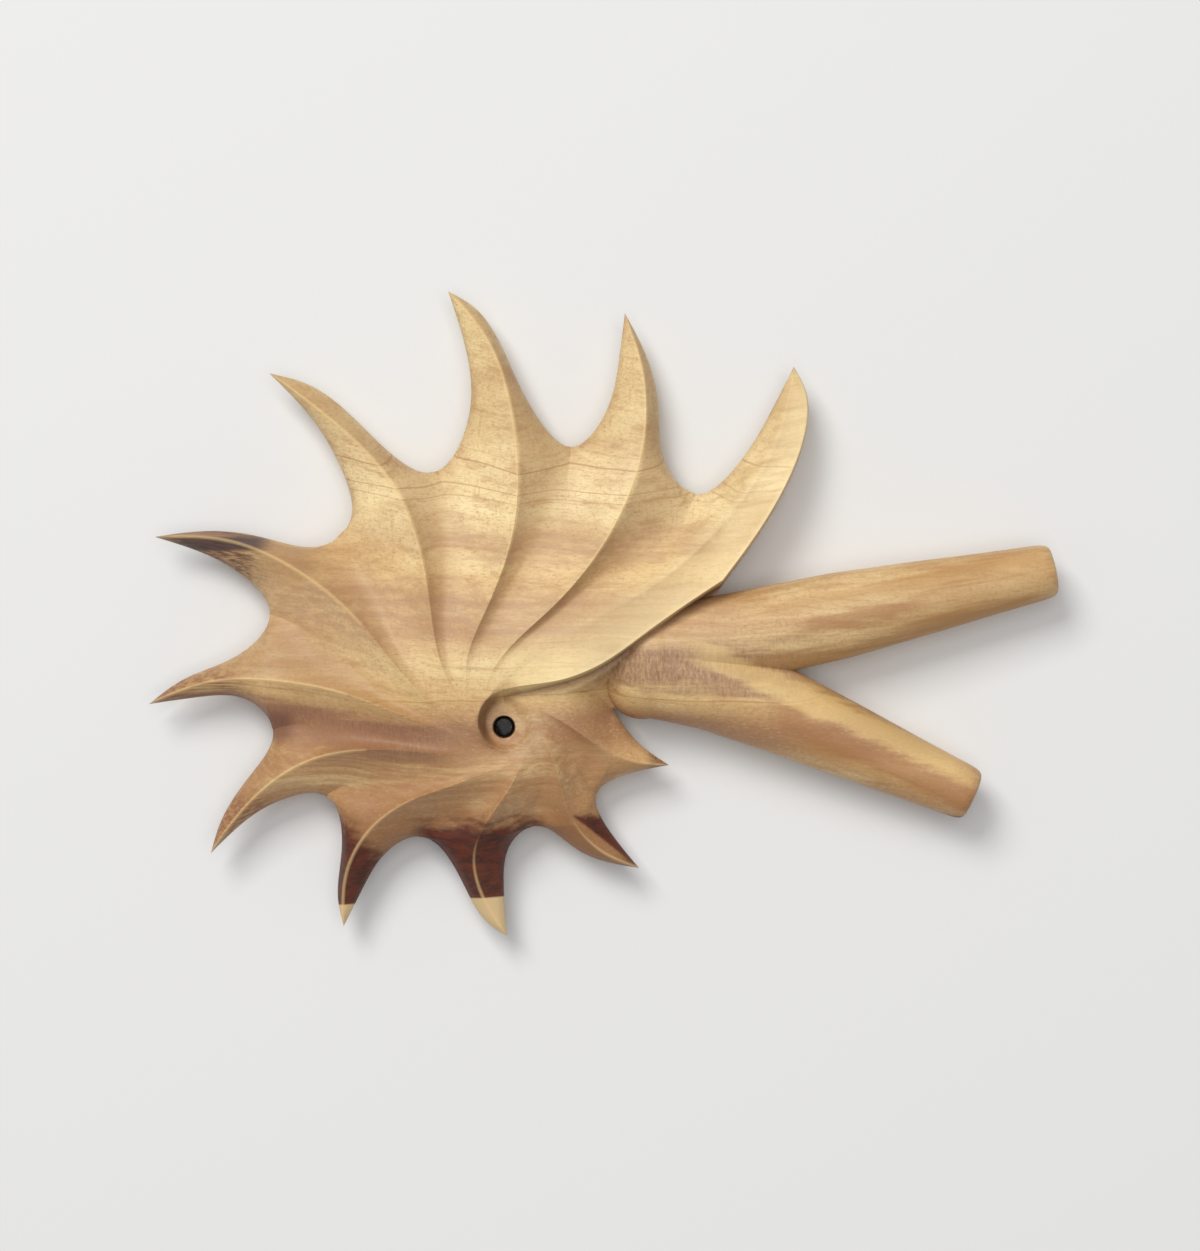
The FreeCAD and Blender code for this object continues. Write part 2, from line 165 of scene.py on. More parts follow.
def smooth(v):
    v = np.clip(v, 0.0, 1.0)
    return v * v * (3 - 2 * v)


def blend(a, b, share):
    return a * (1 - share) + b * share


def spline(points):
    """Dense points on a natural cubic spline through the given ones, chord-length spaced."""
    p = np.array(points, float)
    chord = np.linalg.norm(np.diff(p, axis=0), axis=1)
    u = np.concatenate([[0.0], np.cumsum(chord)])
    n = len(u)
    if n == 2:
        return blend(p[0], p[1], np.linspace(0, 1, STRAIGHT_STEPS)[:, None])
    a = np.zeros((n, n))
    b = np.zeros((n, 2))
    a[0, 0] = a[-1, -1] = 1.0
    for i in range(1, n - 1):
        h0, h1 = u[i] - u[i - 1], u[i + 1] - u[i]
        a[i, i - 1:i + 2] = h0, 2 * (h0 + h1), h1
        b[i] = 6 * ((p[i + 1] - p[i]) / h1 - (p[i] - p[i - 1]) / h0)
    m = np.linalg.solve(a, b)
    x = np.linspace(0, u[-1], SPLINE_STEPS)
    k = np.clip(np.searchsorted(u, x, side="right") - 1, 0, n - 2)
    h = (u[k + 1] - u[k])[:, None]
    left = (u[k + 1] - x)[:, None]
    right = (x - u[k])[:, None]
    return (m[k] * left ** 3 / (6 * h) + m[k + 1] * right ** 3 / (6 * h)
            + (p[k] / h - m[k] * h / 6) * left + (p[k + 1] / h - m[k + 1] * h / 6) * right)


class Line:
    """A plan curve that is read by the distance along it."""

    def __init__(self, points):
        self.p = spline(points)
        step = np.linalg.norm(np.diff(self.p, axis=0), axis=1)
        self.d = np.concatenate([[0.0], np.cumsum(step)])
        self.length = self.d[-1]

    def at(self, distance):
        distance = np.clip(distance, 0, self.length)
        return np.stack([np.interp(distance, self.d, self.p[:, i]) for i in (0, 1)], axis=-1)

    def near(self, point):
        return self.d[np.argmin(np.linalg.norm(self.p - np.array(point), axis=1))]


def stations():
    """Along a strip: 0 at the tip, NECK at the notch, 1 at the eye, finer at tip and notch."""
    out = NECK * np.linspace(0, 1, OUT_STEPS + 1) ** TIP_CROWDING
    inward = NECK + (1 - NECK) * np.linspace(0, 1, IN_STEPS + 1) ** NOTCH_CROWDING
    return np.concatenate([out, inward[1:]])


S = stations()
SPIKE = S[:OUT_STEPS + 1]
SHELL = S[OUT_STEPS:]


def across(steps):
    """From a crest (0) to the line beside it (1), finer at both ends."""
    x = np.linspace(0, 1, steps + 1)
    return 0.5 * x + 0.5 * smooth(x)


def lip_across(broad, wall):
    """Across the lip's strip: broad steps up to its crest, then the steps of its wall."""
    down = np.linspace(0, 1, wall + 1)[1:]
    return np.concatenate([LIP_TURN * across(broad), LIP_TURN + (1 - LIP_TURN) * down])


def hook(bearing, column):
    """One value of the hooked lip at a bearing: CREST_R, FOOT_R or CREST_Z."""
    turns = (np.asarray(bearing, float) - HOOK_START) % 360 + HOOK_START
    table = np.array(HOOK)
    return np.interp(turns, table[:, 0], table[:, column])


def on_ring(bearing, radius):
    angle = np.radians(bearing)
    return EYE + np.stack([radius * np.cos(angle), radius * np.sin(angle)], axis=-1)


def ring_end(bearing):
    return tuple(on_ring(bearing, hook(bearing, CREST_R)))


def rib_line(index):
    points, bearing, _, free = RIBS[index]
    # the crest's last given point may lie inside the hook, so it's kept only while outside
    kept = [p for p in points if np.hypot(*(np.array(p) - EYE)) > hook(bearing, CREST_R) + CLEAR]
    line = Line(kept + [ring_end(bearing)])
    split = free * line.length
    out = line.at(split * SPIKE / NECK)
    inner = line.at(split + (line.length - split) * (SHELL - NECK) / (1 - NECK))
    return np.concatenate([out, inner[1:]])


def edge_lines(index):
    down, notch, up = NOTCHES[index]
    first, last = RIBS[index][0][0], RIBS[index + 1][0][0]
    line = Line([first] + down + [notch] + up + [last])
    middle = line.near(notch)
    left = line.at(middle * SPIKE / NECK)
    right = line.at(line.length - (line.length - middle) * SPIKE / NECK)
    right[-1] = left[-1]
    return left, right


def valley_line(index, notch):
    here = rib_line(index)[OUT_STEPS:]
    after = rib_line(index + 1)[OUT_STEPS:]
    line = blend(here, after, 1 - STEEP_SHARE)
    fade = 1 - smooth((SHELL - NECK) / NOTCH_BLEND)
    return line + (notch - line[0]) * fade[:, None]


def root_line(points, root, foot, bearing, lead):
    outer = Line(points + [root])
    inner = Line([root] + foot + [ring_end(bearing)])
    out = outer.at(outer.length * SPIKE / NECK)
    inward = inner.at(inner.length * ((SHELL - NECK) / (1 - NECK)) ** lead)
    return np.concatenate([out, inward[1:]])


def climb(top, share, s):
    """Height over the rim along a crest: share of the top at the notch, all of it further in."""
    out = top * share * (s / NECK) ** SPIKE_POWER
    inward = np.sin(np.pi / 2 * np.clip((s - NECK) / FULL_HEIGHT_AT, 0, 1))
    return np.where(s <= NECK, out, top * (share + (1 - share) * inward))


def valley_climb(top, share, s):
    """Height over the rim along a valley: nothing up to the notch, the crests' height at the eye."""
    depth = top * share * np.clip(1 - (s - NECK) / (1 - NECK), 0, 1) ** VALLEY_POWER
    return np.where(s <= NECK, 0.0, climb(top, share, s) - depth)


def floor_climb(s, reach=FLOOR_REACH):
    """The floor between the lip and the last rib, which lifts off the outline over a reach."""
    return np.where(s <= NECK, 0.0, FLOOR_RISE * smooth((s - NECK) / reach))


def strip_plan(rib, line, t, bearings):
    """Plan points of a strip. The inner end is bent from a straight chord on to the hook."""
    plan = rib[:, None, :] * (1 - t)[None, :, None] + line[:, None, :] * t[None, :, None]
    ends = blend(bearings[0], bearings[1], t)
    ring = on_ring(ends, hook(ends, CREST_R))
    weight = smooth((S - DISH_AT) / (1 - DISH_AT))
    return plan + weight[:, None, None] * (ring - plan[-1])[None]


def edge_distance(plan, lines, half_width=None):
    """Distance in plan from each point to the outline. Along the crest it is half_width."""
    outline = np.concatenate([line[:OUT_STEPS + 1] for line in lines])
    d = np.linalg.norm(plan[:, :, None, :] - outline[None, None, :, :], axis=-1).min(axis=-1)
    if half_width is not None:
        d[:, 0] = half_width
        d[:OUT_STEPS + 1, -1] = 0.0
    return d


def spread(rib, left, right):
    """Distance from each crest point to the nearer of the outlines on its two sides."""
    both = np.concatenate([left[:OUT_STEPS + 1], right[:OUT_STEPS + 1]])
    return np.linalg.norm(rib[:, None, :] - both[None, :, :], axis=-1).min(axis=-1)


def rounded(distance):
    """Quarter-round edge profile."""
    x = np.clip(distance / EDGE_W, 0, 1)
    return EDGE_RISE * np.sqrt(1 - (1 - x) ** 2)


def settle(height, target, s):
    """Levels a height out to its target at the inner end of a strip."""
    return blend(height, target, smooth((s - DISH_AT) / (1 - DISH_AT)))


def ring_height(bearings, t):
    """Height of the hook's crest over the rim along a strip's inner end."""
    return hook(blend(bearings[0], bearings[1], t), CREST_Z) - RIM_Z


def flute_top(rib_top, valley_top, shape, s, t):
    """Height over the rim of a top strip that ends in an ordinary notch and valley. The shape is
    steep or broad, or first for the side of the first rib, which has no sharp crest."""
    crest = climb(rib_top, TOP_BASE_SHARE, s)
    side = valley_climb(valley_top, TOP_BASE_SHARE, s)
    hollow = 1 - (1 - t) ** (FLUTE_POWER if shape == "steep" else BROAD_POWER)
    belly = t - BELLY * np.sin(np.pi * t)
    if shape == "first":
        hollow = blend(hollow, smooth(t), FIRST_HOLLOW)
        belly = blend(t, smooth(t), FIRST_BELLY) ** FIRST_POWER
    free = 1 - smooth((s - NECK) / FREE_BLEND)
    return blend(crest, side, blend(hollow, belly, free))


def lip_top(s, t):
    """Beyond the first rib: a gentle rise to the lip's crest, then a drop to its foot."""
    lip = climb(LIP_RISE, LIP_START / LIP_RISE, s)
    crest = climb(RIBS[0][2], TOP_BASE_SHARE, s)
    before = np.clip(t / LIP_TURN, 0, 1)
    beyond = (t - LIP_TURN) / (1 - LIP_TURN)
    up = blend(crest, lip, before ** LIP_POWER)
    drop = blend(lip, floor_climb(s), smooth(beyond) ** DROP_POWER)
    thin = (1 - np.clip(s / THIN_TIP, 0, 1)) * before
    return np.where(t <= LIP_TURN, up, drop) * (1 - thin)


def last_top(s, t):
    return blend(climb(RIBS[-1][2], TOP_BASE_SHARE, s), floor_climb(s, LAST_REACH), t)


def underside(kind, s, t):
    side = valley_climb(UNDER_RISE, UNDER_BASE_SHARE, s)
    if kind == "floor":
        return side + 0 * t
    return blend(climb(UNDER_RISE, UNDER_BASE_SHARE, s), side, t ** UNDER_POWER)


def strip_heights(kind, top, t, bearings, edge):
    """Heights of a strip's points, levelled out at its inner end."""
    s = S[:, None]
    t = t[None, :]
    if not top:
        return RIM_Z - settle(underside(kind, s, t), RIM_Z - BASE_UNDER, s) - edge
    if kind == "lip":
        height = lip_top(s, t)
    elif kind == "last":
        height = last_top(s, t)
    elif kind == "floor":
        height = floor_climb(s, blend(FLOOR_REACH, LAST_REACH, t))
    else:
        height = flute_top(*kind, s, t)
    return RIM_Z + settle(height, ring_height(bearings, t), s) + edge


class Skin:
    """Collects grids of points as one polygon soup, to be welded."""

    def __init__(self):
        self.points = []
        self.faces = []
        self.count = 0

    def grid(self, points, flip):
        rows, columns = points.shape[:2]
        index = np.arange(rows * columns).reshape(rows, columns) + self.count
        a, b, c, d = index[:-1, :-1], index[:-1, 1:], index[1:, 1:], index[1:, :-1]
        quads = np.stack([a, b, c, d] if flip else [a, d, c, b], axis=-1).reshape(-1, 4)
        self.points.append(points.reshape(-1, 3))
        self.faces.append(quads)
        self.count += rows * columns

    def mesh(self, name, weld):
        mesh = bpy.data.meshes.new(name)
        points = np.concatenate(self.points) * MM
        faces = np.concatenate(self.faces)
        mesh.from_pydata(points.tolist(), [], faces.tolist())
        bm = bmesh.new()
        bm.from_mesh(mesh)
        bmesh.ops.remove_doubles(bm, verts=bm.verts, dist=weld * MM)
        bmesh.ops.dissolve_degenerate(bm, edges=bm.edges, dist=1e-7)
        bmesh.ops.triangulate(bm, faces=bm.faces)
        bmesh.ops.recalc_face_normals(bm, faces=bm.faces)
        bm.to_mesh(mesh)
        bm.free()
        return mesh


def strips():
    """Every strip of the shell as (crest, side line, kind, bearings, outlines, half width)."""
    count = len(RIBS)
    ribs = [rib_line(k) for k in range(count)]
    lip = root_line([RIBS[0][0][0]] + LIP_EDGE, LIP_ROOT, LIP_FOOT, LIP_BEARING, LIP_LEAD)
    last = root_line([RIBS[-1][0][0]] + LAST_EDGE, LAST_ROOT, LAST_FOOT, LAST_BEARING, 1.0)
    lefts = []
    rights = [lip]
    for k in range(count - 1):
        left, right = edge_lines(k)
        valley = valley_line(k, left[-1])
        lefts.append(np.concatenate([left, valley[1:]]))
        rights.append(np.concatenate([right, valley[1:]]))
    lefts.append(last)
    half = [spread(ribs[k], lefts[k], rights[k]) for k in range(count)]
    result = []
    for k in range(count - 1):
        tops = RIBS[k][2], RIBS[k + 1][2]
        valley_top = blend(*tops, 1 - STEEP_SHARE)
        middle = blend(RIBS[k][1], RIBS[k + 1][1], 1 - STEEP_SHARE)
        both = [lefts[k], rights[k + 1]]
        shape = "first" if k == 0 else "broad"
        result.append((ribs[k], lefts[k], (tops[0], valley_top, shape), (RIBS[k][1], middle),
                       both, half[k]))
        result.append((ribs[k + 1], rights[k + 1], (tops[1], valley_top, "steep"),
                       (RIBS[k + 1][1], middle), both, half[k + 1]))
    result.append((ribs[0], lip, "lip", (RIBS[0][1], HOOK_START), [lip, last], half[0]))
    result.append((ribs[-1], last, "last", (RIBS[-1][1], LAST_BEARING), [lip, last], half[-1]))
    return result, lip, last


def shell_skin():
    skin = Skin()
    jobs, lip, last = strips()
    jobs.append((lip, last, "floor", (LIP_BEARING, LAST_BEARING), [lip, last], None))
    for steps, top in ((TOP_STEPS, True), (UNDER_STEPS, False)):
        for rib, line, kind, bearings, outlines, half_width in jobs:
            t = across(TOP_STEPS if kind == "floor" else steps)
            if kind == "lip":
                t = lip_across(*(LIP_TOP if top else LIP_UNDER))
            plan = strip_plan(rib, line, t, bearings)
            edge = rounded(edge_distance(plan, outlines, half_width))
            z = strip_heights(kind, top, t, bearings, edge)
            points = np.concatenate([plan, z[..., None]], axis=-1)
            if kind == "floor":
                points = points[OUT_STEPS:]
            else:
                points[:OUT_STEPS + 1, -1, 2] = RIM_Z
            points[0, :, 2] = RIM_Z
            skin.grid(points, top)
            add_centre(skin, points[-1], t, bearings, top)
    return skin


# From the hook's crest inwards: steps down its wall, steps across the dish, then the drilled seat
# as radius and height.
WALL_SHARES = (0.12, 0.3, 0.5, 0.7, 0.88, 1.0)
WALL_POWER = 0.9
DISH_SHARES = (0.35, 0.7, 1.0)
RIM_WIDTH = 0.22       # of the dish's edge round the seat
RIM_LIFT = 0.08        # of that edge over EYE_Z
SEAT = [
    (SEAT_R + 0.06, EYE_Z), (SEAT_R, EYE_Z - 0.16), (SEAT_R, EYE_Z - SEAT_DEPTH),
    (0.0, EYE_Z - SEAT_DEPTH),
]


def add_centre(skin, end, t, bearings, top):
    """From a strip's inner end to the eye: over the hook's foot and dish, into the seat."""
    ends = blend(bearings[0], bearings[1], t)
    outer = np.hypot(end[:, 0] - EYE[0], end[:, 1] - EYE[1])
    rings = [(outer * 0.5, BASE_UNDER), (0.0, BASE_UNDER)]
    if top:
        foot_r = hook(ends, FOOT_R)
        rings = [(blend(outer, foot_r, share),
                  blend(end[:, 2], DISH_Z, smooth(share) ** WALL_POWER)) for share in WALL_SHARES]
        rings += [(blend(foot_r, SEAT_R + RIM_WIDTH, share),
                   blend(DISH_Z, EYE_Z + RIM_LIFT, share)) for share in DISH_SHARES]
        rings += SEAT
    rows = [end]
    for radius, z in rings:
        rows.append(np.column_stack([on_ring(ends, radius), np.full(len(t), z)]))
    skin.grid(np.array(rows), top)


WOBBLE = 0.22          # height of the unevenness
WOBBLE_SCALE = (0.09, 0.09, 0.05)
WOBBLE_FROM_Z = 3      # the sanded flat isn't moved
WOBBLE_FROM_EYE = 8    # nor are the hook and the dish


def wobble(mesh):
    """The slight unevenness of a knife-cut surface."""
    for vertex in mesh.vertices:
        p = vertex.co * 1000
        if p.z > WOBBLE_FROM_Z and np.hypot(p.x - EYE[0], p.y - EYE[1]) > WOBBLE_FROM_EYE:
            place = Vector([value * scale for value, scale in zip(p, WOBBLE_SCALE)])
            vertex.co.z += noise.noise(place) * WOBBLE * MM


# The arms: distance from the end, half width. The first ARM_MOUTH points round the mouth.
ARM_PROFILE = [
    (0.0, 3.6), (0.1, 4.3), (0.35, 4.85), (0.9, 5.3), (1.8, 5.6), (3.2, 5.8), (6.0, 6.0),
    (14.0, 6.6), (28.0, 7.8), (46.0, 9.1),
]
ARM_MOUTH = 6
ARM_RINGS = 60
ARM_TURN = 3.75        # degrees from one point of a ring to the next
# The lower arm widens towards the fork on its outer side: distance from its end, extra width.
FORK_FLARE = [(44.0, 0.0), (58.0, 0.9), (66.0, 2.3), (73.1, 3.9)]


def arm(name, end, flare=((0.0, 0.0),)):
    """A tapering round arm, rounded at its mouth, with a flare on its right-hand side."""
    tip = np.array([*end, ARM_Z])
    root = np.array([*ROOT, ARM_Z])
    length = np.linalg.norm(root - tip)
    along = (root - tip) / length
    side = np.array([-along[1], along[0], 0.0])
    table = np.array(ARM_PROFILE + [(length, ROOT_HALF_WIDTH)])
    body = np.linspace(table[ARM_MOUTH, 0], length, ARM_RINGS)
    d = np.concatenate([table[:ARM_MOUTH, 0], body])
    radius = np.interp(d, table[:, 0], table[:, 1])
    flare = np.array(flare)
    extra = np.interp(d, flare[:, 0], flare[:, 1])
    angle = np.radians(np.arange(0, 361, ARM_TURN))
    rows = []
    up = np.array([0, 0, 1.0])
    for distance, r, wider in zip(d, radius, extra):
        sideways = r * np.cos(angle) + wider * np.clip(np.cos(angle), 0, 1)
        centre = tip + along * distance
        rows.append(centre + sideways[:, None] * side + r * np.sin(angle)[:, None] * up)
    skin = Skin()
    start = np.repeat(tip[None], len(angle), axis=0)
    finish = np.repeat(root[None], len(angle), axis=0)
    skin.grid(np.array([start] + rows + [finish]), True)
    return made(name, skin.mesh(name, 0.002))


def made(name, data):
    """An object in the scene, from its mesh, camera or light."""
    piece = bpy.data.objects.new(name, data)
    bpy.context.scene.collection.objects.link(piece)
    return piece


def shade(piece, sharp_from):
    """Smooth shading, with edges sharp from an angle in degrees."""
    for polygon in piece.data.polygons:
        polygon.use_smooth = True
    piece.data.set_sharp_from_angle(angle=math.radians(sharp_from))


def tool(name, bm):
    """A piece to join or cut with, from a bmesh."""
    mesh = bpy.data.meshes.new(name)
    bm.to_mesh(mesh)
    bm.free()
    return made(name, mesh)


def tool_ball(name):
    """The ball at the root, stretched on the side where the lower arm flares."""
    bm = bmesh.new()
    bmesh.ops.create_icosphere(bm, subdivisions=5, radius=ROOT_BALL_R * MM)
    outward = Vector((LOWER_END[1] - ROOT[1], ROOT[0] - LOWER_END[0], 0.0)).normalized()
    for vertex in bm.verts:
        share = max(0.0, vertex.co.dot(outward)) / (ROOT_BALL_R * MM)
        vertex.co += outward * share * FORK_FLARE[-1][1] * MM
    bmesh.ops.translate(bm, verts=bm.verts, vec=Vector((*ROOT, ARM_Z)) * MM)
    return tool(name, bm)


def tool_box(name):
    """Everything below the floor, to sand the underside flat."""
    bm = bmesh.new()
    bmesh.ops.create_cube(bm, size=BOX)
    bmesh.ops.translate(bm, verts=bm.verts, vec=(0, 0, -BOX / 2))
    return tool(name, bm)


def cut(body, other, operation):
    """Joins another piece to the body or cuts it away, and removes it."""
    modifier = body.modifiers.new(operation, "BOOLEAN")
    modifier.operation = operation
    modifier.solver = "MANIFOLD"
    modifier.object = other
    bpy.context.view_layer.update()
    depsgraph = bpy.context.evaluated_depsgraph_get()
    mesh = bpy.data.meshes.new_from_object(body.evaluated_get(depsgraph))
    body.modifiers.clear()
    body.data = mesh
    bpy.data.objects.remove(other)


def bore_tool(name, end):
    """A cylinder from 1 mm outside an arm's mouth to the root."""
    tip = np.array([*end, ARM_Z])
    root = np.array([*ROOT, ARM_Z])
    inward = (root - tip) / np.linalg.norm(root - tip)
    side = np.cross(inward, [0, 0, 1.0])
    up = np.cross(side, inward)
    angle = np.linspace(0, 2 * np.pi, BORE_SIDES + 1)[:, None]
    circle = BORE_R * (np.cos(angle) * side + np.sin(angle) * up)
    start = tip - inward
    skin = Skin()
    skin.grid(np.array([start + 0 * circle, start + circle, root + circle, root + 0 * circle]), True)
    return made(name, skin.mesh(name, 0.0005))


def plan_tree(points):
    """A search tree over points in plan."""
    tree = kdtree.KDTree(len(points))
    for index, (x, y) in enumerate(points):
        tree.insert((x, y, 0.0), index)
    tree.balance()
    return tree


def nearest(points, lines):
    """Distance in plan from each point to the nearest of the lines' points."""
    tree = plan_tree(np.concatenate(lines))
    return np.array([tree.find((x, y, 0.0))[2] for x, y in points])


DENSER = 6


def dense(line, rows):
    """A finer polyline through the wanted rows of a strip line."""
    part = line[rows]
    steps = np.linspace(0, len(part) - 1, len(part) * DENSER)
    return np.stack([np.interp(steps, np.arange(len(part)), part[:, k]) for k in (0, 1)], axis=-1)


# How far each stored value reaches from its line, in mm.
CREST_REACH = 0.75
FOOT_REACH = 1.6
RIM_REACH = 1.1
PANEL_REACH = 16
STEEP_REACH = 0.8
# How far from the eye a value starts, and over what length it grows. The steep sides grow faster
# below the eye, where the small ribs swirl in.
CREST_FROM, CREST_GROWS = 12, 26
STEEP_FROM, STEEP_GROWS, STEEP_GROWS_BELOW = 5, 26, 9
BELOW_REACH = 8        # height in plan, level with the eye, over which one turns into the other
# The painted shade on the hook's wall: how tall the wall is where the shade takes its full
# # strength, the degrees over which the shade comes in, and how far the shade passes its crest and
# # its foot, and how softly.
HOOK_TALL = 3.0
HOOK_FADE = 25
PAST_CREST, CREST_SOFT = 0.25, 0.5
PAST_FOOT, FOOT_SOFT = 0.9, 1.1
TOP_FROM_Z = RIM_Z + 0.4   # only points above this take a stored value
CREST_ROWS = slice(2, OUT_STEPS + 26)


def steepness(shape, t):
    """How much of a flute's steep, shaded side a point across a strip belongs to."""
    if shape == "steep":
        return smooth(t / 0.10) * (1 - 0.5 * smooth((t - 0.6) / 0.4))
    return 0.5 * smooth((t - 0.70) / 0.30)


def steep_map(jobs):
    """A search tree over the flutes' plan, and the steepness at each of its points."""
    t = across(TOP_STEPS)
    plans = []
    values = []
    for rib, line, kind, bearings, _, _ in jobs:
        plans.append(strip_plan(rib, line, t, bearings).reshape(-1, 2))
        steep = 0 * t if kind in ("lip", "last") else steepness(kind[2], t)
        values.append(np.tile(steep, len(S)))
    return plan_tree(np.concatenate(plans)), np.concatenate(values)


def store(mesh, name, values):
    attribute = mesh.attributes.new(name, "FLOAT", "POINT")
    attribute.data.foreach_set("value", np.asarray(values, np.float32))


def painted_hook_shade(points, top):
    """Painted shade mask: 1 on the inner wall of the hooked lip, fading where the wall does."""
    away = points - EYE
    bearing = np.degrees(np.arctan2(away[:, 1], away[:, 0])) % 360
    radius = np.hypot(away[:, 0], away[:, 1])
    crest_r, foot_r = hook(bearing, CREST_R), hook(bearing, FOOT_R)
    tall = np.clip((hook(bearing, CREST_Z) - OPEN_Z) / HOOK_TALL, 0, 1)
    tall = tall * smooth((bearing - HOOK[1][0]) / HOOK_FADE)
    within = smooth((crest_r + PAST_CREST - radius) / CREST_SOFT)
    beyond = smooth((radius - foot_r + PAST_FOOT) / FOOT_SOFT)
    return within * beyond * tall * top


def mark_carving(mesh):
    """Stores how near each point of the top is to a rib's crest, a flute's steep side, and the
    lip's foot, rim, panel and hook. The wood paints highlight along the crests, rim and panel, and
    shade at the foot, on the hook's wall and, with the end grain, on the steep sides."""
    jobs, lip, _ = strips()
    crests = [dense(job[0], CREST_ROWS) for job in jobs[1:-2] + jobs[-1:]]
    feet = [dense(lip, slice(OUT_STEPS, -1))]
    first_rib, lip_foot = jobs[-2][:2]
    rims = [dense(blend(first_rib, lip_foot, LIP_TURN), slice(2, len(S) - 6))]
    points = np.array([vertex.co[:2] for vertex in mesh.vertices]) / MM
    top = np.array([vertex.co[2] for vertex in mesh.vertices]) / MM > TOP_FROM_Z
    from_eye = np.hypot(points[:, 0] - EYE[0], points[:, 1] - EYE[1])
    crest = np.clip(1 - nearest(points, crests) / CREST_REACH, 0, 1)
    store(mesh, "crest", crest * top * smooth((from_eye - CREST_FROM) / CREST_GROWS))
    store(mesh, "foot", np.clip(1 - nearest(points, feet) / FOOT_REACH, 0, 1) * top)
    from_rim = nearest(points, rims)
    store(mesh, "rim", np.clip(1 - from_rim / RIM_REACH, 0, 1) * top)
    lip_side = from_rim < nearest(points, [dense(lip, slice(2, -1))])
    store(mesh, "panel", smooth(1 - from_rim / PANEL_REACH) * lip_side * top)
    store(mesh, "hook", painted_hook_shade(points, top))
    tree, values = steep_map(jobs)
    found = [tree.find((x, y, 0.0)) for x, y in points]
    steep = np.array([values[at] if away < STEEP_REACH else 0.0 for _, at, away in found])
    below = smooth((EYE[1] + BELOW_REACH / 2 - points[:, 1]) / BELOW_REACH)
    grows = blend(STEEP_GROWS, STEEP_GROWS_BELOW, below)
    store(mesh, "steep", steep * top * smooth((from_eye - STEEP_FROM) / grows))


def carved_body():
    mesh = shell_skin().mesh("carved_body", 0.0012)
    wobble(mesh)
    body = made("pipe_body", mesh)
    cut(body, arm("upper_arm", UPPER_END), "UNION")
    cut(body, arm("lower_arm", LOWER_END, FORK_FLARE), "UNION")
    cut(body, tool_ball("root_ball"), "UNION")
    cut(body, tool_box("below"), "DIFFERENCE")
    cut(body, bore_tool("upper_bore", UPPER_END), "DIFFERENCE")
    cut(body, bore_tool("lower_bore", LOWER_END), "DIFFERENCE")
    shade(body, 38)
    mark_carving(body.data)
    return body


# ---- stone and its cement ----
STONE_R = 2.1
STONE_TOP = 15.75
BED = 0.25             # cement under the stone
CROWN_STEPS = 12
CROWN_INSET = 0.42     # how far inside the stone's side its face starts
CROWN_RISE = 0.16
CHIP = (-1.45, -1.5, -0.1)   # from the eye, and from the stone's top
CHIP_R = 0.75
CHIP_DEPTH = 0.35
GAP = 0.02             # between stone and cement
CUP_WALL = 1.2         # height of the cup, under its uneven edge
CUP_WOBBLE = 0.12
SIDES = 72             # of each turned piece


def turned(name, profile):
    """A closed turned piece about the eye's axis from (radius, height) points."""
    angle = np.linspace(0, 2 * np.pi, SIDES + 1)
    rows = []
    for radius, z in profile:
        plan = EYE + radius * np.stack([np.cos(angle), np.sin(angle)], axis=-1)
        rows.append(np.column_stack([plan, np.full(SIDES + 1, z)]))
    skin = Skin()
    skin.grid(np.array(rows), False)
    piece = made(name, skin.mesh(name, 0.0005))
    shade(piece, 30)
    return piece


def stone():
    """A low cabochon with a ground chamfer round its flat-domed face and a chip in the rim."""
    bottom = EYE_Z - SEAT_DEPTH + BED
    profile = [(0.0, bottom), (STONE_R - 0.1, bottom), (STONE_R, bottom + 0.1)]
    profile += [(STONE_R, STONE_TOP - 0.62), (STONE_R - 0.05, STONE_TOP - 0.52)]
    for k in range(CROWN_STEPS + 1):
        left = 1 - k / CROWN_STEPS
        profile.append(((STONE_R - CROWN_INSET) * left, STONE_TOP - CROWN_RISE * left ** 2))
    piece = turned("cabochon", profile)
    chip = Vector((EYE[0] + CHIP[0], EYE[1] + CHIP[1], STONE_TOP + CHIP[2])) * MM
    for vertex in piece.data.vertices:
        away = (vertex.co - chip).length / MM
        if away < CHIP_R and vertex.co.z > (STONE_TOP - 0.7) * MM:
            vertex.co.z -= CHIP_DEPTH * (1 - away / CHIP_R) * MM
    return piece


def cement():
    """The cup of cement, with an uneven squeezed-up edge round the stone."""
    low = EYE_Z - SEAT_DEPTH
    inner = STONE_R + GAP
    profile = [(0.0, low + BED - GAP), (inner, low + BED - GAP), (inner, low + 1.25)]
    profile += [(inner + 0.06, low + 1.36), (SEAT_R - 0.08, low + 1.38), (SEAT_R - 0.01, low + 1.3)]
    profile += [(SEAT_R - 0.01, low + 0.01), (0.0, low + 0.01)]
    piece = turned("cement_cup", profile[::-1])
    for vertex in piece.data.vertices:
        if vertex.co.z > (low + CUP_WALL) * MM:
            p = vertex.co / MM
            vertex.co.z += noise.noise(Vector((p.x, p.y, 0.0))) * CUP_WOBBLE * MM
    return piece


